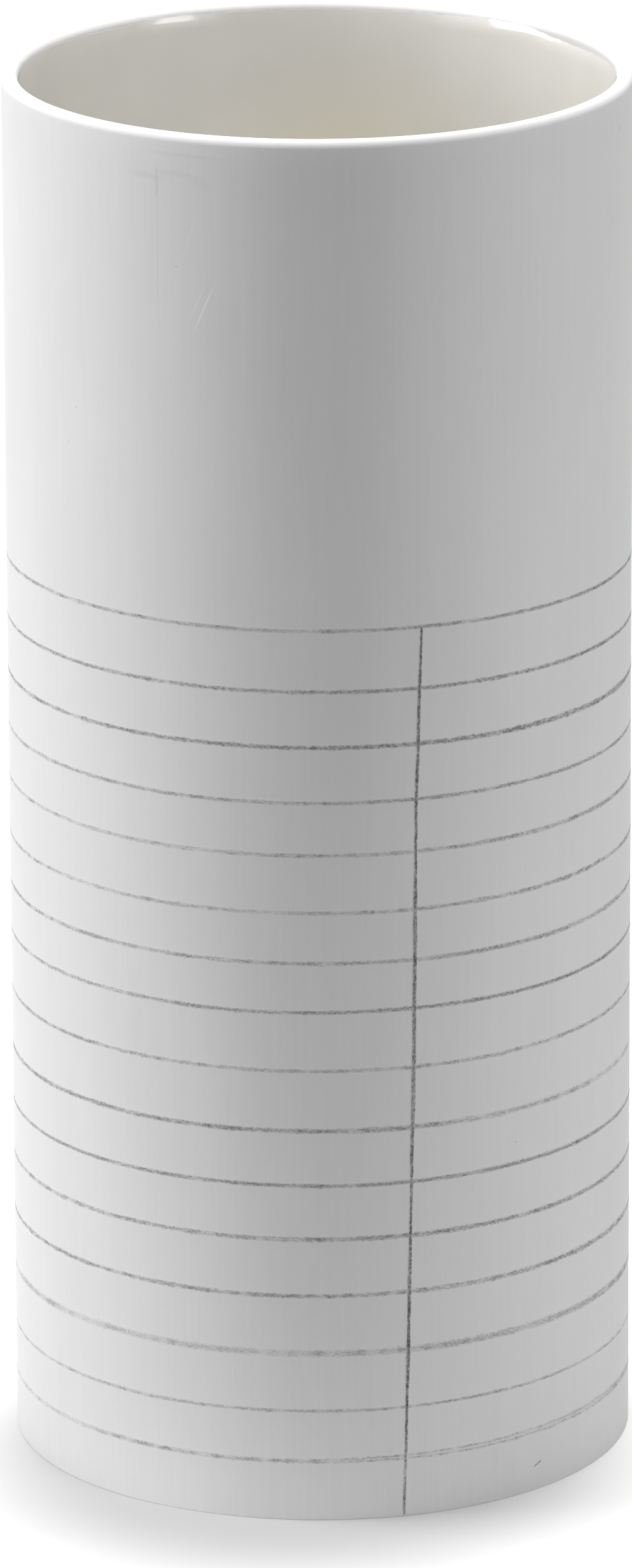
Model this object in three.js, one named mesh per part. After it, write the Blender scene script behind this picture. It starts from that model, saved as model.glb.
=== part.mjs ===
// A tall straight vase of white porcelain: a thin cylinder with a full round lip, closed by a
// disc set into its foot, glazed inside and left bare outside, where sixteen drawn lines run
// round it and one runs down it.
//
// Millimetres, +Z up. The origin is the middle of the circle that the vase stands on, and its
// front, the side with the line down it, faces -Y.

import * as THREE from 'three';

// Driving dimensions, in millimetres
const HEIGHT = 248; // foot to crest of the lip
const OUTER_DIAMETER = 110;
const WALL_THICKNESS = 3;
const FOOT_EDGE_RADIUS = 1; // rounding of the outer edge that meets the table
const FOOT_INNER_BEVEL = 0.4; // broken inner edge of the foot ring
const FOOT_HOLLOW = 1.2; // how far the disc's underside is raised off the table
const BASE_THICKNESS = 4.5;
const GLAZE_THICKNESS = 0.25;
const GLAZE_FILLET = 3; // glaze and slip pooled where the wall meets the floor
const GLAZE_STOP = 2; // from the lip's crest down to the edge of the glaze
const GLAZE_FEATHER = 1.2; // the height over which the glaze thins out to its edge

// The drawn lines
const LINES_BELOW_LIP = 86; // from the lip's crest to the first line
const LINES_ABOVE_FOOT = 11; // from the table to the last line
const LINE_WIDTH = 0.6;
const LINE_FILM = 0.1; // how proud of the clay a fired line stands
const MARGIN_WIDTH = 0.5;
const MARGIN_FILM = 0.09; // of the line down the front, where it passes over the others
const LINE_CLEARANCE = 0.06; // between a ruled line and the line that crosses it

// How far each line was drawn above its even place, as a share of the even pitch
const LINE_DRIFT_SHARES = [
  0, -0.08, -0.07, -0.05, 0.01, -0.02, 0.07, 0.19,
  0.13, 0.04, 0.05, 0.07, 0.04, -0.02, -0.08, 0,
];

// Facets round the wall, and across the small roundings. The line down the front lies on one
// facet, so it keeps between that facet's two edges.
const FACETS = 72;
const LIP_STEPS = 8;
const EDGE_STEPS = 4;
const FRONT_FACET = 3; // counted from the front towards +X
const MARGIN_TOP_SHARE = 0.45; // of the facet's half width, from its middle towards +X
const MARGIN_FOOT_SHARE = -0.88;

const RADIUS = OUTER_DIAMETER / 2;
const BORE_RADIUS = RADIUS - WALL_THICKNESS;
const FLOOR_HEIGHT = FOOT_HOLLOW + BASE_THICKNESS;

const PORCELAIN = { color: 0xe9e8e5, roughness: 0.85, metalness: 0 };
const GLAZE = { color: 0xdedcd3, roughness: 0.12, metalness: 0 };
const PENCIL = { color: 0x6b6966, roughness: 0.8, metalness: 0 };

function piece(name, geometry, finish) {
  const mesh = new THREE.Mesh(geometry, new THREE.MeshStandardMaterial(finish));
  mesh.name = name;
  return mesh;
}

// An outline of [radius, height] points, run outside upwards and inside downwards, spun about Z
function spun(outline) {
  const points = outline.map(([radius, height]) => new THREE.Vector2(radius, height));
  return new THREE.LatheGeometry(points, FACETS).rotateX(Math.PI / 2);
}

// Points on an arc in the outline's plane. Angles are in degrees from outwards, turning upwards.
function arc(radius, height, size, from, to, steps) {
  return Array.from({ length: steps + 1 }, (unused, step) => {
    const angle = THREE.MathUtils.degToRad(from + (to - from) * (step / steps));
    return [radius + size * Math.cos(angle), height + size * Math.sin(angle)];
  });
}

// The wall: foot ring, outer face, full round lip and bore, as one closed outline
function wallGeometry() {
  const lipRadius = WALL_THICKNESS / 2;
  const outline = [
    [BORE_RADIUS + FOOT_INNER_BEVEL, 0],
    ...arc(RADIUS - FOOT_EDGE_RADIUS, FOOT_EDGE_RADIUS, FOOT_EDGE_RADIUS, -90, 0, EDGE_STEPS),
    ...arc(RADIUS - lipRadius, HEIGHT - lipRadius, lipRadius, 0, 180, LIP_STEPS),
    [BORE_RADIUS, FOOT_INNER_BEVEL],
  ];
  return spun([...outline, outline[0]]);
}

// The disc that closes the foot, face to face with the bore all round
function baseGeometry() {
  return spun([
    [0, FOOT_HOLLOW],
    [BORE_RADIUS, FOOT_HOLLOW],
    [BORE_RADIUS, FLOOR_HEIGHT],
    [0, FLOOR_HEIGHT],
  ]);
}

// The glaze: one skin over the floor and up the bore, thick in the corner and thin at its edge
function glazeGeometry() {
  const inside = BORE_RADIUS - GLAZE_THICKNESS;
  const surface = FLOOR_HEIGHT + GLAZE_THICKNESS;
  const edge = HEIGHT - GLAZE_STOP;
  const corner = arc(
    inside - GLAZE_FILLET, surface + GLAZE_FILLET, GLAZE_FILLET, 0, -90, EDGE_STEPS,
  );
  return spun([
    [0, FLOOR_HEIGHT],
    [BORE_RADIUS, FLOOR_HEIGHT],
    [BORE_RADIUS, edge],
    [inside, edge - GLAZE_FEATHER],
    ...corner,
    [0, surface],
  ]);
}

// Heights of the ruled lines above the table, from the first one down
function lineHeights() {
  const first = HEIGHT - LINES_BELOW_LIP;
  const pitch = (first - LINES_ABOVE_FOOT) / (LINE_DRIFT_SHARES.length - 1);
  return LINE_DRIFT_SHARES.map((share, index) => first - pitch * (index - share));
}

// One ruled line: a low ridge of fired pencil that follows the wall's facets
function lineGeometry(height) {
  const half = LINE_WIDTH / 2;
  const ridge = [
    [RADIUS, height - half],
    [RADIUS + LINE_FILM, height],
    [RADIUS, height + half],
  ];
  return spun([...ridge, ridge[0]]);
}

// The line down the front: a bar lying on one facet, notched where it passes over each line.
// It is drawn in the plane of its length and its thickness, then leant to its slight slant.
function marginLine(heights) {
  const facetAngle = (2 * Math.PI) / FACETS;
  const apothem = RADIUS * Math.cos(facetAngle / 2);
  const halfFacet = RADIUS * Math.sin(facetAngle / 2);
  const notchHalf = LINE_WIDTH / 2 + LINE_CLEARANCE;
  const notchDepth = LINE_FILM + LINE_CLEARANCE;
  const proud = notchDepth + MARGIN_FILM;
  const top = heights[0] - notchHalf;
  const foot = FOOT_EDGE_RADIUS;
  const slant = Math.atan2(halfFacet * (MARGIN_TOP_SHARE - MARGIN_FOOT_SHARE), top - foot);
  const along = (height) => (height - foot) / Math.cos(slant);

  const outline = new THREE.Shape();
  outline.moveTo(0, along(foot));
  outline.lineTo(proud, along(foot));
  outline.lineTo(proud, along(top));
  outline.lineTo(0, along(top));
  for (const height of heights.slice(1)) {
    const upper = along(height + notchHalf);
    const lower = along(height - notchHalf);
    outline.lineTo(0, upper);
    outline.lineTo(notchDepth, upper);
    outline.lineTo(notchDepth, lower);
    outline.lineTo(0, lower);
  }
  outline.closePath();

  // The outline's x is the bar's thickness and its y runs up the wall. The extrusion is the
  // bar's width, which turns from +Z to point along -X, across the facet.
  const bar = new THREE.ExtrudeGeometry(outline, { depth: MARGIN_WIDTH, bevelEnabled: false });
  bar.translate(0, 0, -MARGIN_WIDTH / 2);
  const mesh = piece('margin_line', bar, PENCIL);
  const basis = new THREE.Matrix4().makeBasis(
    new THREE.Vector3(0, -1, 0),
    new THREE.Vector3(Math.sin(slant), 0, Math.cos(slant)),
    new THREE.Vector3(-Math.cos(slant), 0, Math.sin(slant)),
  );
  mesh.setRotationFromMatrix(basis);
  mesh.position.set(halfFacet * MARGIN_FOOT_SHARE, -apothem, foot);

  const turned = new THREE.Group();
  turned.rotation.z = facetAngle * (FRONT_FACET + 1 / 2);
  turned.add(mesh);
  return turned;
}

const vase = new THREE.Group();
vase.add(piece('wall', wallGeometry(), PORCELAIN));
vase.add(piece('base', baseGeometry(), PORCELAIN));
vase.add(piece('glaze_lining', glazeGeometry(), GLAZE));

const heights = lineHeights();
heights.forEach((height, index) => {
  const number = String(index + 1).padStart(2, '0');
  vase.add(piece(`ruled_line_${number}`, lineGeometry(height), PENCIL));
});
vase.add(marginLine(heights));

export default vase;
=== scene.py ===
import math

import bmesh
import bpy
from mathutils import Matrix, Vector, noise


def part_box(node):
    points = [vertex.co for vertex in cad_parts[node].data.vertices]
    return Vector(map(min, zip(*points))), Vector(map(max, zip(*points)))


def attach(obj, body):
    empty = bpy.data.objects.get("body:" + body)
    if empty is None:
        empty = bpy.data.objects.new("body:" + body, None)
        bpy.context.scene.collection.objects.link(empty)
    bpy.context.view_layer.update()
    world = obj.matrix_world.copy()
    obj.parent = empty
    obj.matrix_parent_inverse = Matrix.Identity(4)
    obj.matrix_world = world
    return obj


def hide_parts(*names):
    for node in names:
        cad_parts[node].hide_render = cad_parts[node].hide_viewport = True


bl_info = {
    "name": "Pencil-Ruled Porcelain Vase",
    "version": (1, 0, 0),
    "blender": (4, 5, 0),
    "location": "View3D > Sidebar > Vase",
    "description": "Builds a tall bisque porcelain vase, glazed inside, with pencil lines ruled round it",
    "category": "Add Mesh",
}

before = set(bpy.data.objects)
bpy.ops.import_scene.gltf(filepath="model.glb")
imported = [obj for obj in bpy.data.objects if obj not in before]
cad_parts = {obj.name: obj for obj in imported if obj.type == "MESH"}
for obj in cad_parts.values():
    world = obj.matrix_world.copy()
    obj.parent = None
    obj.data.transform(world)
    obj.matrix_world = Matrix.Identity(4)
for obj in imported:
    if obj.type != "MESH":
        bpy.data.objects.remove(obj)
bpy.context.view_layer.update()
wall_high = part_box("wall")[1]
base_low, base_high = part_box("base")

MM = 0.001
TURN = 2 * math.pi
RULED_NODES = sorted(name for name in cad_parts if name.startswith("ruled_line_"))

# How far from a place a vertex is still found there, and how near two must lie to be joined
SLACK, TINY = 0.01 * MM, 0.001 * MM
# Edges that turn by less than this are shaded smooth
SMOOTH_TURN = math.radians(35)


def linear(code):
    """An sRGB hex code as the linear colour that the shaders take."""
    channels = [int(code[place:place + 2], 16) / 255 for place in (1, 3, 5)]
    curve = [c / 12.92 if c <= 0.04045 else ((c + 0.055) / 1.055) ** 2.4 for c in channels]
    return (*curve, 1.0)


# What all the sizes and all the colours below are declared with
LENGTH = {"unit": "LENGTH", "subtype": "DISTANCE"}
COLOUR = {"subtype": "COLOR", "size": 4, "min": 0, "max": 1}


class VaseClaySettings(bpy.types.PropertyGroup):
    """The porcelain wall and the disc set into its foot."""
    radius: bpy.props.FloatProperty(
        name="Radius", description="Outer radius of the wall",
        default=wall_high.x, **LENGTH)
    height: bpy.props.FloatProperty(
        name="Height", description="From the table to the crest of the lip",
        default=wall_high.z, **LENGTH)
    wall: bpy.props.FloatProperty(
        name="Wall", description="Thickness of the wall",
        default=3 * MM, **LENGTH)
    foot_round: bpy.props.FloatProperty(
        name="Foot Rounding", description="Radius of the outer edge that meets the table",
        default=0.1 * MM, **LENGTH)
    unevenness: bpy.props.FloatProperty(
        name="Unevenness", description="Depth of the slow waves left by hand in the wall",
        default=0.12 * MM, **LENGTH)
    segments: bpy.props.IntProperty(
        name="Segments", description="Steps round the wall", default=360, min=48)
    colour: bpy.props.FloatVectorProperty(
        name="Colour", description="The bare clay, a neutral white",
        default=linear("#EBEBEB"), **COLOUR)
    shaded_colour: bpy.props.FloatVectorProperty(
        name="Shaded Colour", description="The bare clay where the sponge left it denser",
        default=linear("#E5E5E5"), **COLOUR)


class VaseGlazeSettings(bpy.types.PropertyGroup):
    """The coat of clear glaze over the floor and the bore."""
    thickness: bpy.props.FloatProperty(
        name="Thickness", description="How far the glaze stands off the clay",
        default=0.07 * MM, **LENGTH)
    swell: bpy.props.FloatProperty(
        name="Swell", description="How much thicker it gathers under the lip in places",
        default=0.3 * MM, **LENGTH)
    fillet: bpy.props.FloatProperty(
        name="Pooled Corner", description="Radius of the glaze pooled between wall and floor",
        default=3 * MM, **LENGTH)
    feather: bpy.props.FloatProperty(
        name="Feather", description="The height over which the glaze thins out to its edge",
        default=2.4 * MM, **LENGTH)
    raggedness: bpy.props.FloatProperty(
        name="Raggedness", description="How far the wiped edge strays up and down",
        default=0.3 * MM, **LENGTH)
    segments: bpy.props.IntProperty(
        name="Segments", description="Steps round the glaze", default=400, min=48)
    colour: bpy.props.FloatVectorProperty(
        name="Colour", description="The clay as it shows through the glaze",
        default=linear("#F3F1EC"), **COLOUR)
    light_colour: bpy.props.FloatVectorProperty(
        name="Light Colour", description="The same on the crests of the glaze's slow waves",
        default=linear("#F5F3EE"), **COLOUR)
    pooled_colour: bpy.props.FloatVectorProperty(
        name="Pooled Colour", description="The same where the glaze ran thicker",
        default=linear("#F6F2E4"), **COLOUR)


class VasePencilSettings(bpy.types.PropertyGroup):
    """The drawn lines of ceramic pencil."""
    width: bpy.props.FloatProperty(
        name="Width", description="Usual width of a ruled line",
        default=0.6 * MM, **LENGTH)
    margin_width: bpy.props.FloatProperty(
        name="Margin Width", description="Greatest width of the line down the front",
        default=0.95 * MM, **LENGTH)
    film: bpy.props.FloatProperty(
        name="Film", description="How proud of the clay the fired pencil stands",
        default=0.02 * MM, **LENGTH)
    wobble: bpy.props.FloatProperty(
        name="Wobble", description="How far the hand strays from a line",
        default=0.11 * MM, **LENGTH)
    step: bpy.props.FloatProperty(
        name="Step", description="Length of one facet along a drawn line",
        default=0.35 * MM, **LENGTH)
    colour: bpy.props.FloatVectorProperty(
        name="Colour", description="The fired pigment, a dull graphite",
        default=linear("#3F3E3D"), **COLOUR)


def add_node(tree, kind, inputs=(), **settings):
    """Adds a node with its settings. Its inputs are values, or outputs of nodes to link."""
    node = tree.nodes.new(kind)
    for name, value in settings.items():
        setattr(node, name, value)
    for name, value in dict(inputs).items():
        if isinstance(value, bpy.types.NodeSocket):
            tree.links.new(value, node.inputs[name])
        else:
            node.inputs[name].default_value = value
    return node


def empty_tree(owner):
    """The node tree of a material or a world, cleared."""
    owner.use_nodes = True
    owner.node_tree.nodes.clear()
    return owner.node_tree


def new_material(name):
    """A material with an empty tree, its shader and its output."""
    material = bpy.data.materials.new(name)
    tree = empty_tree(material)
    shader = add_node(tree, "ShaderNodeBsdfPrincipled")
    add_node(tree, "ShaderNodeOutputMaterial", {"Surface": shader.outputs[0]})
    return material, tree, shader


def per_metre(millimetres):
    """The scale of a pattern whose features are this many millimetres apart."""
    return 1 / (millimetres * MM)


# Unglazed and glazed ceramic
MATT_ROUGHNESS, GLOSSY_ROUGHNESS, CERAMIC_IOR = 0.72, 0.08, 1.5


def bisque_ground(tree):
    """The colour and the bumps of bare porcelain, from Object coordinates."""
    clay = bpy.context.scene.vase_clay
    place = add_node(tree, "ShaderNodeTexCoord").outputs["Object"]

    # Slow clouding left by the sponge, about 18 mm across and twice as tall
    tall = add_node(tree, "ShaderNodeMapping", {"Vector": place, "Scale": (1, 1, 0.5)})
    cloud = add_node(tree, "ShaderNodeTexNoise", {
        "Vector": tall.outputs[0], "Scale": per_metre(18), "Detail": 3.0, "Roughness": 0.5})
    # Fine upright streaks of the same wiping, about 0.7 mm apart and 30 mm long
    upright = add_node(tree, "ShaderNodeMapping", {"Vector": place, "Scale": (1, 1, 0.025)})
    streak = add_node(tree, "ShaderNodeTexNoise", {
        "Vector": upright.outputs[0], "Scale": per_metre(0.7), "Detail": 4.0, "Roughness": 0.65})
    # The tooth of the clay. The real grain is under 0.1 mm, so it is drawn coarser, to show.
    tooth = add_node(tree, "ShaderNodeTexNoise", {
        "Vector": place, "Scale": per_metre(0.35), "Detail": 2.0, "Roughness": 0.6})

    mixed = add_node(tree, "ShaderNodeMath", {
        0: cloud.outputs["Fac"], 1: 0.55}, operation="MULTIPLY")
    both = add_node(tree, "ShaderNodeMath", {
        0: streak.outputs["Fac"], 1: 0.45, 2: mixed.outputs[0]}, operation="MULTIPLY_ADD")
    shade = add_node(tree, "ShaderNodeValToRGB", {"Fac": both.outputs[0]})
    shade.color_ramp.elements[0].position = 0.3
    shade.color_ramp.elements[0].color = clay.shaded_colour
    shade.color_ramp.elements[1].position = 0.7
    shade.color_ramp.elements[1].color = clay.colour

    ground = shade.outputs["Color"]
    # Specks, smudges and chalky scratches, and the painted shade of a fine crease
    for azimuth, height, half_width, half_height, lean, tone, strength in HANDLING_MARKS_AND_CREASE_SHADE:
        turn = math.radians(azimuth)
        centre = Vector((clay.radius * math.sin(turn), -clay.radius * math.cos(turn), height * MM))
        local = add_node(tree, "ShaderNodeMapping", {
            "Vector": place, "Location": centre, "Rotation": (0, math.radians(lean), turn),
            "Scale": (half_width * MM, MARK_DEPTH, half_height * MM)}, vector_type="TEXTURE")
        away = add_node(tree, "ShaderNodeVectorMath", {0: local.outputs[0]}, operation="LENGTH")
        spot = add_node(tree, "ShaderNodeMapRange", {
            "Value": away.outputs["Value"], "From Min": 1.0, "From Max": 0.3, "To Max": strength},
            interpolation_type="SMOOTHSTEP")
        ground = add_node(tree, "ShaderNodeMix", {
            "Factor": spot.outputs[0], 6: ground, 7: linear(tone)}, data_type="RGBA").outputs[2]

    wiped = add_node(tree, "ShaderNodeBump", {
        "Height": streak.outputs["Fac"], "Strength": 0.12, "Distance": 0.05 * MM})
    grained = add_node(tree, "ShaderNodeBump", {
        "Height": tooth.outputs["Fac"], "Strength": 0.25, "Distance": 0.03 * MM,
        "Normal": wiped.outputs[0]})
    return ground, grained.outputs[0]


# Marks of handling on the bare clay, and the painted shade of a fine crease: azimuth in degrees,
# height, half width and half height in millimetres, lean in degrees, tone and strength. They reach
# this deep, past the wall's waves.
MARK_DEPTH = 2 * MM
# Tones of the specks, of the smudges and the painted crease shade, and of the chalky scratches
SPECK, SMUDGE_AND_CREASE_SHADE, CHALKY = "#6E6B67", "#B9B9BC", "#FBFBFA"
HANDLING_MARKS_AND_CREASE_SHADE = (
    # dark specks in the clay
    (-26.0, 225.0, 0.3, 0.16, 0, SPECK, 0.35),
    (-49.3, 196.8, 0.24, 0.2, 0, SPECK, 0.4),
    (-51.4, 190.2, 0.22, 0.2, 0, SPECK, 0.35),
    (38.1, 65.8, 0.22, 0.2, 0, SPECK, 0.4),
    # painted shade of a fine crease down from the lip, darkest near its top, with smudges on both sides
    (-29.7, 227.2, 0.35, 20.0, 0, SMUDGE_AND_CREASE_SHADE, 0.08),
    (-29.8, 239.2, 0.35, 4.2, 0, SMUDGE_AND_CREASE_SHADE, 0.22),
    (-32.0, 240.3, 5.0, 0.9, 4, SMUDGE_AND_CREASE_SHADE, 0.12),
    (-26.4, 241.1, 6.0, 0.7, 2, SMUDGE_AND_CREASE_SHADE, 0.1),
    (-24.0, 244.4, 12.0, 0.6, 1, SMUDGE_AND_CREASE_SHADE, 0.1),
    (-21.0, 239.6, 3.0, 1.4, 20, SMUDGE_AND_CREASE_SHADE, 0.07),
    (71.0, 241.2, 0.25, 1.2, 0, SMUDGE_AND_CREASE_SHADE, 0.5),
    # chalky scratches, leaning with the hand that wiped them
    (-20.7, 218.1, 0.26, 6.4, 24, CHALKY, 0.6),
    (-21.9, 219.2, 0.26, 4.6, 24, CHALKY, 0.25),
    (-23.5, 229.8, 0.3, 7.4, 18, CHALKY, 0.18),
)


def bisque_porcelain():
    """Unglazed porcelain, sponged and fired: dry and matt, with only a grazing sheen."""
    material, tree, shader = new_material("Bisque porcelain, sponged")
    colour, normal = bisque_ground(tree)
    tree.links.new(colour, shader.inputs["Base Color"])
    tree.links.new(normal, shader.inputs["Normal"])
    shader.inputs["Roughness"].default_value = MATT_ROUGHNESS
    shader.inputs["IOR"].default_value = CERAMIC_IOR
    return material


# The dashes and the grains of a stroke, along it and across it in millimetres, and their slant.
# The pigment's real grains are finer, so they are drawn this coarse to show.
DASH, GRAIN, SLANT = (0.65, 0.36), (0.3, 0.27), 0.2


def ceramic_pencil():
    """Ceramic pencil fired on bisque: dull graphite grains caught by the tooth of the clay, over
    a faint smear."""
    material, tree, shader = new_material("Ceramic pencil fired on bisque")
    ground, normal = bisque_ground(tree)
    across, along, half, line, pressure, split = (
        add_node(tree, "ShaderNodeAttribute", attribute_name=name).outputs["Fac"]
        for name in ("across", "along", "half_width", "line", "pressure", "split"))

    slanted = add_node(tree, "ShaderNodeMath", {
        0: across, 1: SLANT, 2: along}, operation="MULTIPLY_ADD")
    place = add_node(tree, "ShaderNodeCombineXYZ", {0: slanted.outputs[0], 1: across, 2: line})
    dashes = add_node(tree, "ShaderNodeMapping", {
        "Vector": place.outputs[0], "Scale": (1 / DASH[0], 1 / DASH[1], 1)})
    grains = add_node(tree, "ShaderNodeMapping", {
        "Vector": place.outputs[0], "Scale": (1 / GRAIN[0], 1 / GRAIN[1], 1)})
    long = add_node(tree, "ShaderNodeTexNoise", {
        "Vector": dashes.outputs[0], "Scale": 1.0, "Detail": 0.0})
    short = add_node(tree, "ShaderNodeTexNoise", {
        "Vector": grains.outputs[0], "Scale": 1.0, "Detail": 1.0, "Roughness": 0.4})
    fine = add_node(tree, "ShaderNodeMath", {
        0: short.outputs["Fac"], 1: 0.55}, operation="MULTIPLY")
    tooth = add_node(tree, "ShaderNodeMath", {
        0: long.outputs["Fac"], 1: 0.45, 2: fine.outputs[0]}, operation="MULTIPLY_ADD")

    # The point presses evenly over most of the stroke. Its edge is as ragged as the grains.
    aside = add_node(tree, "ShaderNodeMath", {0: across}, operation="ABSOLUTE")
    share = add_node(tree, "ShaderNodeMath", {0: aside.outputs[0], 1: half}, operation="DIVIDE")
    outer = add_node(tree, "ShaderNodeMath", {0: share.outputs[0], 1: 0.7}, operation="SUBTRACT")
    ragged = add_node(tree, "ShaderNodeMath", {
        0: tooth.outputs[0], 1: 1.4, 2: outer.outputs[0]}, operation="MULTIPLY_ADD")
    body = add_node(tree, "ShaderNodeMapRange", {
        "Value": ragged.outputs[0], "From Min": 1.7, "From Max": 0.25},
        interpolation_type="SMOOTHSTEP")
    # A worn point leaves two strands with a barer track between them
    track = add_node(tree, "ShaderNodeMapRange", {
        "Value": share.outputs[0], "From Min": 0.7, "From Max": 0.0},
        interpolation_type="SMOOTHSTEP")
    barer = add_node(tree, "ShaderNodeMath", {0: split, 1: -1.0}, operation="MULTIPLY")
    load = add_node(tree, "ShaderNodeMath", {
        0: track.outputs[0], 1: barer.outputs[0], 2: pressure}, operation="MULTIPLY_ADD")
    # Pigment stays where the load beats the tooth of the clay
    push = add_node(tree, "ShaderNodeMath", {
        0: load.outputs[0], 1: 0.36, 2: 0.32}, operation="MULTIPLY_ADD")
    beat = add_node(tree, "ShaderNodeMath", {
        0: push.outputs[0], 1: tooth.outputs[0]}, operation="SUBTRACT")
    caught = add_node(tree, "ShaderNodeMapRange", {
        "Value": beat.outputs[0], "From Min": -0.26, "From Max": 0.28})
    heavy = add_node(tree, "ShaderNodeMath", {
        0: caught.outputs[0], 1: 0.66, 2: 0.14}, operation="MULTIPLY_ADD", use_clamp=True)
    # A light hand leaves less pigment wherever it catches, and a heavy one more
    light = add_node(tree, "ShaderNodeMapRange", {
        "Value": load.outputs[0], "From Min": 0.15, "From Max": 0.6, "To Min": 0.42})
    pressed = add_node(tree, "ShaderNodeMapRange", {
        "Value": load.outputs[0], "From Min": 0.8, "From Max": 1.3, "To Min": 1.0, "To Max": 1.3})
    weight = add_node(tree, "ShaderNodeMath", {
        0: light.outputs[0], 1: pressed.outputs[0]}, operation="MULTIPLY")
    laid = add_node(tree, "ShaderNodeMath", {
        0: heavy.outputs[0], 1: weight.outputs[0]}, operation="MULTIPLY")
    cover = add_node(tree, "ShaderNodeMath", {
        0: laid.outputs[0], 1: body.outputs[0]}, operation="MULTIPLY", use_clamp=True)
    pigment = bpy.context.scene.vase_pencil.colour
    mixed = add_node(tree, "ShaderNodeMix", {
        "Factor": cover.outputs[0], 6: ground, 7: pigment}, data_type="RGBA")
    tree.links.new(mixed.outputs[2], shader.inputs["Base Color"])
    tree.links.new(normal, shader.inputs["Normal"])
    shader.inputs["Roughness"].default_value = MATT_ROUGHNESS
    shader.inputs["IOR"].default_value = CERAMIC_IOR
    return material


# Where the glaze ran thicker on the bore, and how far that reaches each way
POOL_MIDDLE, POOL_REACH = (0.006, 0.050, 0.217), (0.032, 0.03, 0.026)


def clear_glaze():
    """Clear glaze fired over porcelain: glossy, ivory where it lies thick, a little wavy."""
    material, tree, shader = new_material("Clear glaze over porcelain, poured")
    glaze = bpy.context.scene.vase_glaze
    place = add_node(tree, "ShaderNodeTexCoord").outputs["Object"]
    # The slow waves of poured glaze, about 9 mm apart
    wave = add_node(tree, "ShaderNodeTexNoise", {
        "Vector": place, "Scale": per_metre(9), "Detail": 1.0, "Roughness": 0.4})
    shade = add_node(tree, "ShaderNodeValToRGB", {"Fac": wave.outputs["Fac"]})
    shade.color_ramp.elements[0].position = 0.35
    shade.color_ramp.elements[0].color = glaze.colour
    shade.color_ramp.elements[1].position = 0.65
    shade.color_ramp.elements[1].color = glaze.light_colour
    # Low on the far side it ran thicker, and there it is yellower
    local = add_node(tree, "ShaderNodeMapping", {
        "Vector": place, "Location": POOL_MIDDLE, "Scale": POOL_REACH}, vector_type="TEXTURE")
    away = add_node(tree, "ShaderNodeVectorMath", {0: local.outputs[0]}, operation="LENGTH")
    thick = add_node(tree, "ShaderNodeMapRange", {
        "Value": away.outputs["Value"], "From Min": 1.0, "From Max": 0.2},
        interpolation_type="SMOOTHSTEP")
    tone = add_node(tree, "ShaderNodeMix", {
        "Factor": thick.outputs[0], 6: shade.outputs["Color"], 7: glaze.pooled_colour},
        data_type="RGBA")
    bump = add_node(tree, "ShaderNodeBump", {
        "Height": wave.outputs["Fac"], "Strength": 0.3, "Distance": 0.04 * MM})
    tree.links.new(tone.outputs[2], shader.inputs["Base Color"])
    tree.links.new(bump.outputs[0], shader.inputs["Normal"])
    shader.inputs["Roughness"].default_value = GLOSSY_ROUGHNESS
    shader.inputs["IOR"].default_value = CERAMIC_IOR
    return material


def finish_piece(bm, name, material, slot, *nodes):
    """Turns a bmesh into a smooth-shaded piece that rides on the vase and stands for its nodes."""
    for edge in bm.edges:
        edge.smooth = len(edge.link_faces) == 2 and edge.calc_face_angle() < SMOOTH_TURN
    for face in bm.faces:
        face.smooth = True
    mesh = bpy.data.meshes.new(name)
    bm.to_mesh(mesh)
    bm.free()
    mesh.materials.append(material)
    piece = bpy.data.objects.new(name, mesh)
    bpy.context.scene.collection.objects.link(piece)
    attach(piece, "root")
    if nodes:
        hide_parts(*nodes)
    return piece


made = {}


def made_material(maker):
    """The material that a function makes, made once and shared."""
    if maker.__name__ not in made:
        made[maker.__name__] = maker()
    return made[maker.__name__]


def spin_outline(bm, points, segments, closed):
    """Spins an outline of (radius, height) points round Z into a ring or a bowl."""
    verts = [bm.verts.new((radius, 0, height)) for radius, height in points]
    edges = [bm.edges.new(pair) for pair in zip(verts, verts[1:])]
    if closed:
        edges.append(bm.edges.new((verts[-1], verts[0])))
    bmesh.ops.spin(
        bm, geom=verts + edges, cent=(0, 0, 0), axis=(0, 0, 1), dvec=(0, 0, 0),
        angle=TURN, steps=segments, use_merge=True, use_duplicate=False)
    bmesh.ops.remove_doubles(bm, verts=bm.verts, dist=TINY)
    bmesh.ops.recalc_face_normals(bm, faces=bm.faces)


def ring_edges(bm, radius, height):
    """The edges that lie on one level circle."""
    def on_circle(vert):
        level = abs(vert.co.z - height) < SLACK
        return level and abs(vert.co.xy.length - radius) < SLACK
    return [edge for edge in bm.edges if all(on_circle(vert) for vert in edge.verts)]


def upright_edges(bm, radius, low, high):
    """The edges that run up a bore or a wall between two heights."""
    def upright(edge):
        first, second = (vert.co for vert in edge.verts)
        tall = abs(first.z - second.z) > (high - low) / 2
        return tall and abs(first.xy.length - radius) < SLACK
    return [edge for edge in bm.edges if upright(edge)]


def round_over(bm, edges, offset, segments):
    """Rounds edges over with a circular bevel."""
    bmesh.ops.bevel(
        bm, geom=edges, offset=offset, offset_type="OFFSET", segments=segments,
        profile=0.5, affect="EDGES", material=-1, clamp_overlap=False)


# How many of the wall's slow waves there are to a radius
WAVES = 1.6


def hollow(azimuth, height):
    """How far the wall's outer face lies inside its true radius at a place."""
    clay = bpy.context.scene.vase_clay
    where = Vector((math.sin(azimuth), math.cos(azimuth), height / clay.radius)) * WAVES
    return clay.unevenness * (0.5 + 0.5 * noise.noise(where))


def on_wall(azimuth, height, proud):
    """A point over the wall's outer face. Azimuth 0 is the front, and grows towards +X."""
    clay = bpy.context.scene.vase_clay
    radius = clay.radius - hollow(azimuth, height) + proud
    return Vector((radius * math.sin(azimuth), -radius * math.cos(azimuth), height))


# Steps across the lip's and the foot's rounding, and the bevel inside the foot
LIP_STEPS, FOOT_STEPS, FOOT_BEVEL = 8, 4, 0.4 * MM
# Rows of facets on the wall's outer face and on its bore
OUTER_ROWS, BORE_ROWS = 60, 8


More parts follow.
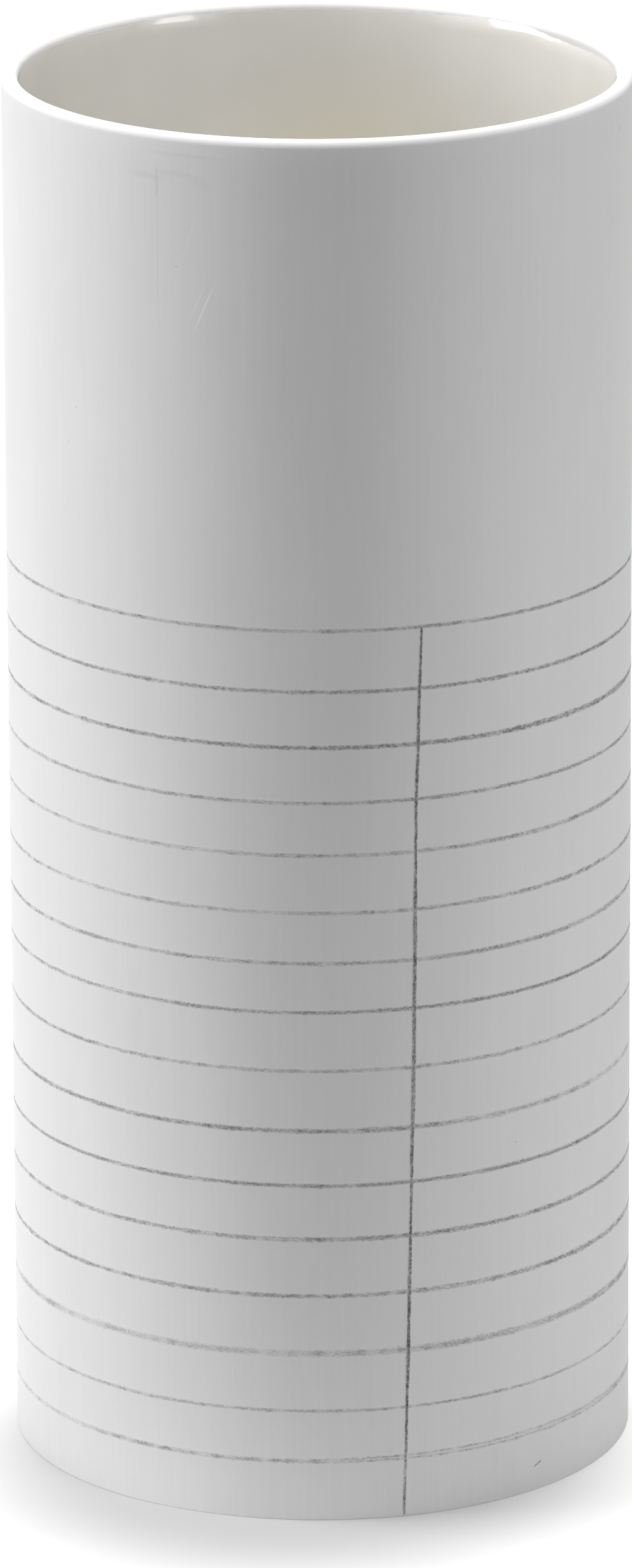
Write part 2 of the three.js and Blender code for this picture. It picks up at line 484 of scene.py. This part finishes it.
class VASE_OT_wall(bpy.types.Operator):
    """Spin the porcelain wall with its full round lip and softened foot"""
    bl_idname = "vase.wall"
    bl_label = "Porcelain Wall"

    def execute(self, context):
        clay = context.scene.vase_clay
        bore = clay.radius - clay.wall
        lip = clay.wall / 2 - TINY
        bm = bmesh.new()
        corners = [(bore, 0), (clay.radius, 0), (clay.radius, clay.height), (bore, clay.height)]
        spin_outline(bm, corners, clay.segments, closed=True)
        top = [*ring_edges(bm, clay.radius, clay.height), *ring_edges(bm, bore, clay.height)]
        round_over(bm, top, lip, LIP_STEPS)
        round_over(bm, ring_edges(bm, clay.radius, 0), clay.foot_round, FOOT_STEPS)
        round_over(bm, ring_edges(bm, bore, 0), FOOT_BEVEL, 1)
        bmesh.ops.remove_doubles(bm, verts=bm.verts, dist=3 * TINY)
        outer = upright_edges(bm, clay.radius, 0, clay.height)
        bmesh.ops.subdivide_edges(bm, edges=outer, cuts=OUTER_ROWS, use_grid_fill=True)
        inner = upright_edges(bm, bore, 0, clay.height)
        bmesh.ops.subdivide_edges(bm, edges=inner, cuts=BORE_ROWS, use_grid_fill=True)

        middle = clay.radius - clay.wall / 2
        for vert in bm.verts:
            radius = vert.co.xy.length
            if radius > middle:
                azimuth = math.atan2(vert.co.x, -vert.co.y)
                share = min(1, (radius - middle) / (clay.wall / 2))
                vert.co.xy *= 1 - hollow(azimuth, vert.co.z) * share / radius
        bmesh.ops.recalc_face_normals(bm, faces=bm.faces)
        material = made_material(bisque_porcelain)
        finish_piece(bm, "porcelain_wall", material, "bisque_porcelain", "wall")
        return {"FINISHED"}


BASE_SEGMENTS, BASE_ROWS = 180, 2


class VASE_OT_base(bpy.types.Operator):
    """Set the porcelain disc into the foot"""
    bl_idname = "vase.base"
    bl_label = "Porcelain Base"

    def execute(self, context):
        clay = context.scene.vase_clay
        radius = clay.radius - clay.wall
        bm = bmesh.new()
        outline = [(0, base_low.z), (radius, base_low.z), (radius, base_high.z), (0, base_high.z)]
        spin_outline(bm, outline, BASE_SEGMENTS, closed=False)
        edges = upright_edges(bm, radius, base_low.z, base_high.z)
        bmesh.ops.subdivide_edges(bm, edges=edges, cuts=BASE_ROWS, use_grid_fill=True)
        bmesh.ops.recalc_face_normals(bm, faces=bm.faces)
        material = made_material(bisque_porcelain)
        finish_piece(bm, "base_disc", material, "bisque_porcelain", "base")
        return {"FINISHED"}


# The glaze is shaped finely this far down from the crest, and its top lies this far under it
LIP_ZONE, GLAZE_TOP = 8 * MM, 0.3 * MM
# Rows of facets in that zone and below it, and steps across the pooled corner
ZONE_ROWS, LINING_ROWS, CORNER_STEPS = 60, 10, 5
# How deep its hidden faces lie in the clay, in the bore, in the floor and above its edge
BORE_BITE, FLOOR_BITE, EDGE_BITE = 0.06 * MM, 0.05 * MM, 0.04 * MM
# Its thinnest skin, and how much longer than elsewhere it takes to round off over a swell
THIN_SKIN, SWELL_REACH = 0.015 * MM, 0.17
# How its wiped edge strays, as shares of the raggedness
RAGGED_SLOW, RAGGED_QUICK = (6, 0.5), (1.3, 0.5)


class VASE_OT_glaze(bpy.types.Operator):
    """Pour the coat of clear glaze over the floor and up the bore"""
    bl_idname = "vase.glaze"
    bl_label = "Glaze Lining"

    def execute(self, context):
        clay = context.scene.vase_clay
        glaze = context.scene.vase_glaze
        bore = clay.radius - clay.wall
        floor = base_high.z
        crest = clay.height
        knee = crest - LIP_ZONE
        bm = bmesh.new()
        outline = [(0, floor), (bore, floor), (bore, knee), (bore, crest - GLAZE_TOP)]
        spin_outline(bm, outline, glaze.segments, closed=False)
        edges = upright_edges(bm, bore, knee, crest)
        edges = [edge for edge in edges if max(vert.co.z for vert in edge.verts) > knee + MM]
        bmesh.ops.subdivide_edges(bm, edges=edges, cuts=ZONE_ROWS, use_grid_fill=True)
        edges = upright_edges(bm, bore, floor, knee)
        bmesh.ops.subdivide_edges(bm, edges=edges, cuts=LINING_ROWS, use_grid_fill=True)
        round_over(bm, ring_edges(bm, bore, floor), glaze.fillet, CORNER_STEPS)
        # This face is to lie hidden in the clay, and the skin over it is drawn out of it
        skin = bmesh.ops.extrude_face_region(bm, geom=bm.faces, use_keep_orig=True)
        skin = {item for item in skin["geom"] if isinstance(item, bmesh.types.BMVert)}
        for vert in bm.verts:
            flat = vert.co.xy.length
            if flat < SLACK:
                vert.co.z += glaze.thickness if vert in skin else -FLOOR_BITE
                continue
            depth = crest - vert.co.z
            lift = glaze.thickness if vert in skin else -BORE_BITE
            if depth < LIP_ZONE + SLACK:
                azimuth = math.atan2(vert.co.x, -vert.co.y)
                inset = glaze_inset(azimuth, depth) if vert in skin else clay_inset(depth) + lift
                vert.co.xy *= (clay.radius - clay.wall / 2 - inset) / flat
            else:
                inward = min(1, max(0, (flat - bore + glaze.fillet) / glaze.fillet))
                near_floor = vert.co.z < floor + glaze.fillet
                vert.co.xy *= (flat - lift * inward) / flat
                if near_floor:
                    vert.co.z += lift * (1 - inward / 2)
        bmesh.ops.recalc_face_normals(bm, faces=bm.faces)
        material = made_material(clear_glaze)
        finish_piece(bm, "glaze_coat", material, "clear_glaze", "glaze_lining")
        return {"FINISHED"}


def read_course(course, place):
    """The value at a place, from a course of (place, value) pairs in rising order."""
    for (low, first), (high, last) in zip(course, course[1:]):
        if place <= high:
            return first + (last - first) * (place - low) / (high - low)
    return course[-1][1]


# Round the lip, by azimuth in degrees: how far under the crest the glaze was wiped off, in
# millimetres, and how much it gathers there, as a share of the swell
EDGE_COURSE = (
    (-180, 1.45), (-158, 1.3), (-154, 1.05), (-147, 1.1), (-142, 1.45), (0, 1.45), (95, 1.9),
    (116, 2.3), (127, 2.05), (134, 1.15), (143, 1.05), (150, 1.35), (165, 1.45), (180, 1.45),
)
SWELL_COURSE = (
    (-180, 0), (-163, 0), (-155, 0.85), (-147, 0.85), (-141, 0), (95, 0), (125, 1), (147, 1),
    (162, 0), (180, 0),
)


def waver(change, place, seed):
    """How much the hand changes at a place. A change is its length in millimetres and its size,
    and the seed sets it apart from other changes."""
    length, size = change
    return size * noise.noise(place / length + seed)


def clay_inset(depth):
    """How far in from the middle of the lip the clay's inner face lies at a depth."""
    lip = bpy.context.scene.vase_clay.wall / 2
    return math.sqrt(lip ** 2 - max(0, lip - depth) ** 2)


def glaze_inset(azimuth, depth):
    """How far in from the middle of the lip the glaze lies. It leaves the clay at its wiped edge
    and rounds off to its full thickness, and above the edge it lies hidden in the clay."""
    clay = bpy.context.scene.vase_clay
    glaze = bpy.context.scene.vase_glaze
    ring = Vector((math.sin(azimuth), math.cos(azimuth), 0)) * clay.radius / MM
    ragged = waver(RAGGED_SLOW, ring, Vector()) + waver(RAGGED_QUICK, ring, Vector((7, 3, 5)))
    edge = read_course(EDGE_COURSE, math.degrees(azimuth)) * MM + glaze.raggedness * ragged
    if depth < edge:
        return clay_inset(depth) - EDGE_BITE
    swell = read_course(SWELL_COURSE, math.degrees(azimuth))
    full = clay.wall / 2 + glaze.thickness + glaze.swell * swell
    start = clay_inset(edge)
    rise = min(1, (depth - edge) / (glaze.feather * (1 + SWELL_REACH * swell)))
    return max(clay_inset(depth) + THIN_SKIN, start + (full - start) * (1 - (1 - rise) ** 2))


# Rows of facets across a strip, and how many films deep it is sunk into the clay
STRIP_ROWS, SINK = 4, 3
# How much wider than its stroke the strip down the front is
STROKE_MARGIN = 0.08 * MM
# How far apart in the pattern the grains of two lines are taken, and the numbers of the line
# down the front and of the slip, which follow the ruled lines'
LINE_APART = 7.3
MARGIN_LINE, SLIP_LINE = 17, 18


def strip_on_wall(line, course, length, width, rows, step, upright, touch):
    """A thin closed strip of pencil on the wall. course gives azimuth and height at a share of
    the length, and touch gives the pressure, the half width and the split of the stroke."""
    pencil = bpy.context.scene.vase_pencil
    radius = bpy.context.scene.vase_clay.radius
    columns = math.ceil(length / step)
    bm = bmesh.new()
    layers = {key: bm.verts.layers.float.new(key) for key in
              ("across", "along", "depth", "pressure", "half_width", "split", "line")}
    bmesh.ops.create_grid(bm, x_segments=columns, y_segments=STRIP_ROWS, size=0.5)
    for vert in bm.verts:
        share = vert.co.x + 0.5
        across = vert.co.y * width
        azimuth, height = course(share)
        pressure, half_width, split = touch(share)
        if upright:
            # No wider than its stroke, so that it bares none of the lines that it crosses
            across = vert.co.y * min(width, 2 * half_width + STROKE_MARGIN)
            azimuth += across / radius
        else:
            height += across
        values = {"across": across / MM, "along": share * length / MM, "pressure": pressure,
                  "half_width": half_width / MM, "split": split, "line": line * LINE_APART}
        for key, value in values.items():
            vert[layers[key]] = value
        vert.co = on_wall(azimuth, height, pencil.film)
    under = bmesh.ops.extrude_face_region(bm, geom=bm.faces, use_keep_orig=True)
    for item in under["geom"]:
        if isinstance(item, bmesh.types.BMVert):
            item[layers["depth"]] = 1
            item.co.xy *= 1 - SINK * pencil.film / item.co.xy.length
    bmesh.ops.recalc_face_normals(bm, faces=bm.faces)
    lay_in_rows(bm, layers, length, width, rows)
    return bm


# The map of a strip: the gap between two rows, the underside's height as a share of the top's,
# the height of a side and the gap at a row's ends
ROW_GAP, UNDER_SHARE, SIDE_HEIGHT, ROW_END = 0.008, 0.35, 0.004, 0.01
# Where its first end face goes, how wide that is, and how far on the other one goes
END_PLACE, END_WIDTH, END_STEP = 0.02, 0.1, 0.2


def lay_in_rows(bm, layers, length, width, rows):
    """Lays a long strip out in rows, so that a baked picture of it stays sharp: first the rows
    of its top, then those of its underside and its sides, and last its two ends."""
    uv = bm.loops.layers.uv.new("OFBake")
    row_length = length / rows
    tall = width / row_length
    top = tall + ROW_GAP
    under = UNDER_SHARE * tall + ROW_GAP
    side = SIDE_HEIGHT + ROW_GAP
    for face in bm.faces:
        verts = [loop.vert for loop in face.loops]
        along = [vert[layers["along"]] * MM for vert in verts]
        deep = sum(vert[layers["depth"]] for vert in verts) / len(verts)
        row = min(rows - 1, int(sum(along) / len(along) / row_length))
        end = max(along) - min(along) < TINY
        for loop in face.loops:
            vert = loop.vert
            across = vert[layers["across"]] * MM / width + 0.5
            u = (vert[layers["along"]] * MM / row_length - row) * (1 - 2 * ROW_END) + ROW_END
            if end:
                u = END_PLACE + END_WIDTH * across + (END_STEP if row else 0)
                v = rows * (top + under + 2 * side) + SIDE_HEIGHT * vert[layers["depth"]]
            elif deep == 0:
                v = row * top + across * tall
            elif deep == 1:
                v = rows * top + row * under + across * tall * UNDER_SHARE
            else:
                upper = sum(item[layers["across"]] for item in verts) > 0
                v = rows * (top + under) + (2 * row + upper) * side
                v += SIDE_HEIGHT * vert[layers["depth"]]
            loop[uv].uv = (u, v + ROW_GAP / 2)


# The hand's pressure on each ruled line at the left, the front and the right, from 0 to 1
PRESSURES = (
    (0.49, 0.42, 0.78), (0.58, 0.60, 0.80), (0.60, 0.72, 0.85), (0.44, 0.50, 0.67),
    (0.39, 0.39, 0.62), (0.40, 0.37, 0.60), (0.56, 0.45, 0.58), (0.48, 0.57, 0.83),
    (0.62, 0.39, 0.56), (0.64, 0.65, 0.27), (0.59, 0.75, 0.68), (0.49, 0.55, 0.65),
    (0.62, 0.50, 0.65), (0.33, 0.33, 0.50), (0.36, 0.42, 0.43), (0.25, 0.48, 0.40),
)
# How much wider than usual each line's stroke is, from the left to the front and at the right
WIDTH_SHARES = (
    (1, 1), (1, 1.1), (1.05, 1.5), (1, 0.95), (1, 1.3), (1, 1.15), (1.05, 1.3), (1, 1.05),
    (0.95, 1.05), (1.2, 1.5), (1, 1.15), (1.15, 1.25), (1.1, 1.5), (1.65, 1.85), (0.9, 0.75),
    (1.15, 1.9),
)
# How far these lines part into two strands at the right, where the hand went over them again
DOUBLED_LINES = {2: 0.15, 15: 0.7}
# The first line's seed, and how far apart the lines' seeds are
SEED_START, SEED_STEP = Vector((0, 11.3, 0)), Vector((3.7, 0, 0))
# How far the first and the last line rise towards the right
RULE_LEAN_TOP, RULE_LEAN_FOOT = -0.2 * MM, 0.3 * MM
# How a line strays: waves to a radius, and their share of the wobble
STRAYS = ((2.2, 1), (7, 0.5), (24, 0.5))
# Changes of its pressure and of its width, and of how far it parts into strands, less a least
RULED_SLOW, RULED_QUICK, RULED_WIDER = (14, 0.15), (2.2, 0.35), (4, 0.25)
RULED_PARTED, PARTED_LEAST = (7, 0.5), 0.05
# How far it starts from the back, and how far its two ends miss each other there, over one part
# in so many of its length
SEAM_STRAY, SEAM_MISS, SEAM_PARTS = 0.5, 0.25 * MM, 20
# The pressure rises at an end over one part in so many of the line's length
RULED_RISE, MARGIN_RISE, SLIP_RISE = 80, 600, 6
# How much wider than its widest stroke a ruled line's strip is, and the rows of the lines' maps
STRIP_SPARE, RULED_MAP_ROWS, MARGIN_MAP_ROWS = 0.5 * MM, 10, 8


def pressure_round(index, azimuth):
    """The hand's slow change of pressure along a ruled line."""
    left, front, right = PRESSURES[index]
    side = math.sin(azimuth)
    if math.cos(azimuth) > 0:
        return front + (right - front) * max(0, side) + (left - front) * max(0, -side)
    return (left + right) / 2 + (right - left) / 2 * side


class VASE_OT_ruled_lines(bpy.types.Operator):
    """Draw the ruled pencil lines round the wall"""
    bl_idname = "vase.ruled_lines"
    bl_label = "Ruled Lines"

    def execute(self, context):
        clay = context.scene.vase_clay
        pencil = context.scene.vase_pencil
        for index, node in enumerate(RULED_NODES):
            low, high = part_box(node)
            level = (low.z + high.z) / 2
            down = index / (len(RULED_NODES) - 1)
            lean = RULE_LEAN_TOP + (RULE_LEAN_FOOT - RULE_LEAN_TOP) * down
            seed = SEED_START + SEED_STEP * index
            plain, right = WIDTH_SHARES[index]
            start = math.pi + SEAM_STRAY * noise.noise(seed)

            def course(share):
                azimuth = start + TURN * share
                ring = Vector((math.sin(azimuth), math.cos(azimuth), 0))
                stray = sum(part * noise.noise(ring * waves + seed) for waves, part in STRAYS)
                height = level + lean * math.sin(azimuth) + pencil.wobble * stray
                height += SEAM_MISS * max(0, 1 - SEAM_PARTS * share)
                return azimuth, height

            def touch(share):
                azimuth = start + TURN * share
                ring = Vector((math.sin(azimuth), math.cos(azimuth), 0)) * clay.radius / MM
                pressure = pressure_round(index, azimuth)
                pressure += waver(RULED_SLOW, ring, seed) + waver(RULED_QUICK, ring, seed * 2)
                turned = max(0, math.sin(azimuth))
                half = pencil.width / 2 * (plain + (right - plain) * turned)
                half *= 1 + waver(RULED_WIDER, ring, seed * 3)
                split = max(0, waver(RULED_PARTED, ring, seed * 5) - PARTED_LEAST)
                split += DOUBLED_LINES.get(index, 0) * 4 * turned * (1 - turned)
                ends = min(1, share * RULED_RISE, (1 - share) * RULED_RISE)
                return pressure * ends, half, split

            wide = pencil.width * max(plain, right) + STRIP_SPARE
            bm = strip_on_wall(index, course, TURN * clay.radius, wide, RULED_MAP_ROWS,
                               pencil.step, False, touch)
            name = node.replace("ruled_line", "pencil_line")
            material = made_material(ceramic_pencil)
            finish_piece(bm, name, material, "ceramic_pencil", node)
        return {"FINISHED"}


# The line down the front: its azimuth in degrees at some heights in millimetres
MARGIN_COURSE = ((0.3, 15.0), (25, 15.7), (83, 16.95), (131, 17.5), (151, 18.15), (162.15, 18.6))

# The hand's pressure on it at some heights, and the stroke's width in millimetres. The hand lifts
# for a moment just under the last ruled line.
MARGIN_PRESSURES = (
    (0.3, 0.9), (5, 0.9), (8, 0.5), (11, 1.0), (22, 1.12), (29, 1.03), (36, 1.06), (43, 0.96),
    (57, 1.08), (66, 1.0), (78, 0.85), (95, 1.02), (112, 0.94), (122, 1.02), (162, 1.07),
)
MARGIN_WIDTHS = (
    (0.3, 0.48), (22, 0.5), (29, 0.72), (36, 0.56), (43, 0.66), (57, 0.46), (64, 0.56),
    (78, 0.78), (91, 0.66), (112, 0.7), (120, 0.5), (147, 0.6), (154, 0.52), (162, 0.38),
)
# Its strays on the wall, and the changes of its pressure, its width and its strands
MARGIN_STRAYS = ((9, 0.09 * MM), (2.5, 0.036 * MM))
MARGIN_SLOW, MARGIN_QUICK = (15, 0.08), (2.2, 0.25)
MARGIN_WIDER, MARGIN_PARTED = (2.2, 0.15), (8, 0.5)
# It was drawn last, so it lies this share of a film over the others
MARGIN_OVER = 0.6


class VASE_OT_margin_line(bpy.types.Operator):
    """Draw the pencil line down the front, over the ruled lines"""
    bl_idname = "vase.margin_line"
    bl_label = "Margin Line"

    def execute(self, context):
        clay = context.scene.vase_clay
        pencil = context.scene.vase_pencil
        top, foot = MARGIN_COURSE[-1][0], MARGIN_COURSE[0][0]

        def course(share):
            level = top + (foot - top) * share
            down = Vector((level, 0, 0))
            slow, quick = MARGIN_STRAYS
            stray = waver(slow, down, Vector((0, 2, 4))) + waver(quick, down, Vector((0, 8, 1)))
            azimuth = math.radians(read_course(MARGIN_COURSE, level))
            return azimuth + stray / clay.radius, level * MM

        def touch(share):
            level = top + (foot - top) * share
            down = Vector((level, 0, 0))
            pressure = read_course(MARGIN_PRESSURES, level)
            pressure += waver(MARGIN_SLOW, down, Vector((0, 1, 6)))
            pressure += waver(MARGIN_QUICK, down, Vector((0, 5, 9)))
            half = read_course(MARGIN_WIDTHS, level) * MM / 2
            half *= 1 + waver(MARGIN_WIDER, down, Vector((0, 5, 9)))
            split = max(0, waver(MARGIN_PARTED, down, Vector((0, 3, 3))))
            return pressure * min(1, share * MARGIN_RISE), half, split

        length = (top - foot) * MM
        bm = strip_on_wall(MARGIN_LINE, course, length, pencil.margin_width, MARGIN_MAP_ROWS,
                           pencil.step, True, touch)
        for vert in bm.verts:
            vert.co.xy *= 1 + MARGIN_OVER * pencil.film / vert.co.xy.length
        material = made_material(ceramic_pencil)
        finish_piece(bm, "pencil_margin", material, "ceramic_pencil", "margin_line")
        return {"FINISHED"}


# Where the pencil slipped: azimuth in degrees and height in millimetres of the two ends
SLIP_START, SLIP_END = (42.7, 4.4), (44.6, 5.2)
# The slip's pressure and half width, and the width of its strip and of a facet
SLIP_PRESSURE, SLIP_HALF, SLIP_WIDTH, SLIP_STEP = 0.7, 0.14 * MM, 0.6 * MM, 0.1 * MM


class VASE_OT_slip_mark(bpy.types.Operator):
    """Draw the short mark where the pencil slipped near the foot"""
    bl_idname = "vase.slip_mark"
    bl_label = "Slip Mark"

    def execute(self, context):
        clay = context.scene.vase_clay

        def course(share):
            ends = zip(SLIP_START, SLIP_END)
            azimuth, level = (first + (last - first) * share for first, last in ends)
            return math.radians(azimuth), level * MM

        def touch(share):
            ends = min(1, share * SLIP_RISE, (1 - share) * SLIP_RISE)
            return SLIP_PRESSURE * ends, SLIP_HALF, 0.0

        length = clay.radius * math.radians(SLIP_END[0] - SLIP_START[0])
        bm = strip_on_wall(
            SLIP_LINE, course, length, SLIP_WIDTH, 1, SLIP_STEP, False, touch)
        material = made_material(ceramic_pencil)
        finish_piece(bm, "pencil_slip", material, "ceramic_pencil")
        return {"FINISHED"}


# The camera, found by fitting the ruled lines and the rim of the photograph
LENS, SENSOR = 248.8, 36.0
CAMERA_PLACE = (0.0, -1.8349, 0.6741)
CAMERA_PITCH, CAMERA_YAW, CAMERA_ROLL = 16.8566, -0.023, -0.2407

# Each soft light: azimuth, elevation, distance, width, height and power. All face one place.
AIM = Vector((0, 0, 0.125))
SOFT_LIGHTS = {
    "key_left": (-90, 11, 1.3, 0.75, 0.6, 9.8),
    "key_high": (-90, 38, 1.3, 0.6, 0.5, 4.8),
    "overhead": (0, 90, 1.3, 0.35, 0.35, 9.6),
    "right_low": (90, 3, 1.3, 0.5, 0.3, 4.2),
    "right_high": (40, 45, 2.6, 1.2, 1.2, 9.8),
    "right_small": (58, 13, 1.3, 0.3, 0.17, 1.0),
    "front_top": (0, 62, 2.6, 1.4, 1.4, 11.6),
    "back_top": (180, 62, 1.3, 0.7, 0.7, 7.6),
}
# The floor reaches this far, and lies this far under the foot so that they share no plane
FLOOR_REACH, FLOOR_DROP = 8, 0.02 * MM


def seen_or_mirrored(tree):
    """1 where the camera sees something, straight or mirrored, and 0 where it lights the vase."""
    path = add_node(tree, "ShaderNodeLightPath")
    return add_node(tree, "ShaderNodeMath", {
        0: path.outputs["Is Camera Ray"], 1: path.outputs["Is Glossy Ray"]},
        operation="MAXIMUM").outputs[0]


class VASE_OT_stage(bpy.types.Operator):
    """Set up the white floor, the soft lights and the camera"""
    bl_idname = "vase.stage"
    bl_label = "Stage"

    def execute(self, context):
        scene = context.scene
        for name, (azimuth, elevation, distance, width, height, power) in SOFT_LIGHTS.items():
            data = bpy.data.lights.new(name, "AREA")
            data.shape = "RECTANGLE"
            data.size, data.size_y, data.energy = width, height, power
            lamp = bpy.data.objects.new(name, data)
            scene.collection.objects.link(lamp)
            turn, rise = math.radians(azimuth), math.radians(elevation)
            away = Vector((
                math.sin(turn) * math.cos(rise), -math.cos(turn) * math.cos(rise), math.sin(rise)))
            lamp.location = AIM + away * distance
            lamp.rotation_euler = away.to_track_quat("Z", "Y").to_euler()
            lamp.visible_camera = False

        bm = bmesh.new()
        just_under = Matrix.Translation((0, 0, -FLOOR_DROP))
        bmesh.ops.create_grid(bm, x_segments=1, y_segments=1, size=FLOOR_REACH, matrix=just_under)
        mesh = bpy.data.meshes.new("floor")
        bm.to_mesh(mesh)
        bm.free()
        floor = bpy.data.objects.new("floor", mesh)
        scene.collection.objects.link(floor)
        mesh.materials.append(white_sweep())

        world = bpy.data.worlds.new("Studio")
        scene.world = world
        tree = empty_tree(world)
        sky = add_node(tree, "ShaderNodeBackground", {
            "Color": (1, 1, 1, 1), "Strength": seen_or_mirrored(tree)})
        add_node(tree, "ShaderNodeOutputWorld", {"Surface": sky.outputs[0]})

        data = bpy.data.cameras.new("camera")
        data.lens, data.sensor_width = LENS, SENSOR
        camera = bpy.data.objects.new("camera", data)
        scene.collection.objects.link(camera)
        pitch, yaw, roll = (math.radians(a) for a in (CAMERA_PITCH, CAMERA_YAW, CAMERA_ROLL))
        camera.matrix_world = (
            Matrix.Translation(CAMERA_PLACE)
            @ Matrix.Rotation(-yaw, 4, "Z")
            @ Matrix.Rotation(math.pi / 2 - pitch, 4, "X")
            @ Matrix.Rotation(roll, 4, "Z"))
        scene.camera = camera
        scene.view_settings.view_transform = "Standard"
        return {"FINISHED"}


# The paper as it is seen, as it lights the vase from just before the foot and from elsewhere,
# and past its edge, to which it turns between two distances
PAPER_WHITE, PAPER_BOUNCE, PAPER_DIM, PAPER_DARK = "#D3D3D3", "#E9E9E9", "#B2B2B2", "#404040"
PAPER_NEAR, PAPER_FAR = 0.3, 0.8
# The middle of the place before the foot, and how far from it the paper starts and ends to dim
BOUNCE_MIDDLE, BOUNCE_NEAR, BOUNCE_FAR = (-0.012, -0.058, 0), 0.012, 0.055
# The paper also glows where it is seen, but not in the middle of the soft shadow under the vase,
# and less and less towards that middle, which paints part of that shadow
PAINTED_SHADOW_MIDDLE = (-0.0096, -0.0246, 0)
PAPER_GLOW, GLOW_START, GLOW_FULL = 0.43, 0.034, 0.0765


def white_sweep():
    """Matt white paper under the vase. It throws most light back from just before the foot, and
    past its edge it glows instead, so that it is seen white and leaves the front in shade. Where it
    is seen, its glow fades towards the foot, which paints part of the shadow there."""
    material = bpy.data.materials.new("White paper sweep")
    tree = empty_tree(material)
    place = add_node(tree, "ShaderNodeTexCoord").outputs["Object"]
    away = add_node(tree, "ShaderNodeVectorMath", {0: place}, operation="LENGTH")
    reach = add_node(tree, "ShaderNodeMapRange", {
        "Value": away.outputs["Value"], "From Min": PAPER_NEAR, "From Max": PAPER_FAR},
        interpolation_type="SMOOTHSTEP")
    seen = seen_or_mirrored(tree)
    before = add_node(tree, "ShaderNodeVectorMath", {
        0: place, 1: BOUNCE_MIDDLE}, operation="DISTANCE")
    spread = add_node(tree, "ShaderNodeMapRange", {
        "Value": before.outputs["Value"], "From Min": BOUNCE_NEAR, "From Max": BOUNCE_FAR},
        interpolation_type="SMOOTHSTEP")
    bounce = add_node(tree, "ShaderNodeMix", {
        "Factor": spread.outputs[0], 6: linear(PAPER_BOUNCE), 7: linear(PAPER_DIM)},
        data_type="RGBA")
    near = add_node(tree, "ShaderNodeMix", {
        "Factor": seen, 6: bounce.outputs[2], 7: linear(PAPER_WHITE)},
        data_type="RGBA")
    tone = add_node(tree, "ShaderNodeMix", {
        "Factor": reach.outputs[0], 6: near.outputs[2], 7: linear(PAPER_DARK)},
        data_type="RGBA")
    paper = add_node(tree, "ShaderNodeBsdfDiffuse", {"Color": tone.outputs[2]})
    # Painted shadow: where it is seen, the paper's glow fades out towards a middle just before the foot
    shade = add_node(tree, "ShaderNodeVectorMath", {
        0: place, 1: PAINTED_SHADOW_MIDDLE}, operation="DISTANCE")
    painted_shadow_glow = add_node(tree, "ShaderNodeMapRange", {
        "Value": shade.outputs["Value"], "From Min": GLOW_START, "From Max": GLOW_FULL,
        "To Max": PAPER_GLOW}, interpolation_type="SMOOTHSTEP")
    level = add_node(tree, "ShaderNodeMath", {
        0: reach.outputs[0], 1: painted_shadow_glow.outputs[0]}, operation="ADD")
    strength = add_node(tree, "ShaderNodeMath", {
        0: seen, 1: level.outputs[0]}, operation="MULTIPLY")
    glow = add_node(tree, "ShaderNodeEmission", {
        "Color": (1, 1, 1, 1), "Strength": strength.outputs[0]})
    both = add_node(tree, "ShaderNodeAddShader", {0: paper.outputs[0], 1: glow.outputs[0]})
    add_node(tree, "ShaderNodeOutputMaterial", {"Surface": both.outputs[0]})
    return material


class VASE_PT_panel(bpy.types.Panel):
    """Lists the steps that build the vase"""
    bl_idname = "VASE_PT_panel"
    bl_label = "Ruled Porcelain Vase"
    bl_space_type = "VIEW_3D"
    bl_region_type = "UI"
    bl_category = "Vase"

    def draw(self, context):
        for group in GROUPS:
            settings = getattr(context.scene, group)
            box = self.layout.box()
            for name in settings.bl_rna.properties.keys():
                if name not in ("rna_type", "name"):
                    box.prop(settings, name)
        for step in STEPS:
            self.layout.operator(step.bl_idname)


GROUPS = {
    "vase_clay": VaseClaySettings,
    "vase_glaze": VaseGlazeSettings,
    "vase_pencil": VasePencilSettings,
}
STEPS = (
    VASE_OT_wall, VASE_OT_base, VASE_OT_glaze, VASE_OT_ruled_lines,
    VASE_OT_margin_line, VASE_OT_slip_mark, VASE_OT_stage,
)


def register():
    for cls in (*GROUPS.values(), *STEPS, VASE_PT_panel):
        bpy.utils.register_class(cls)
    for name, group in GROUPS.items():
        setattr(bpy.types.Scene, name, bpy.props.PointerProperty(type=group))


def unregister():
    for name in GROUPS:
        delattr(bpy.types.Scene, name)
    for cls in reversed((*GROUPS.values(), *STEPS, VASE_PT_panel)):
        bpy.utils.unregister_class(cls)


def main():
    register()
    for step in STEPS:
        group, name = step.bl_idname.split(".")
        getattr(getattr(bpy.ops, group), name)()


if __name__ == "__main__":
    main()
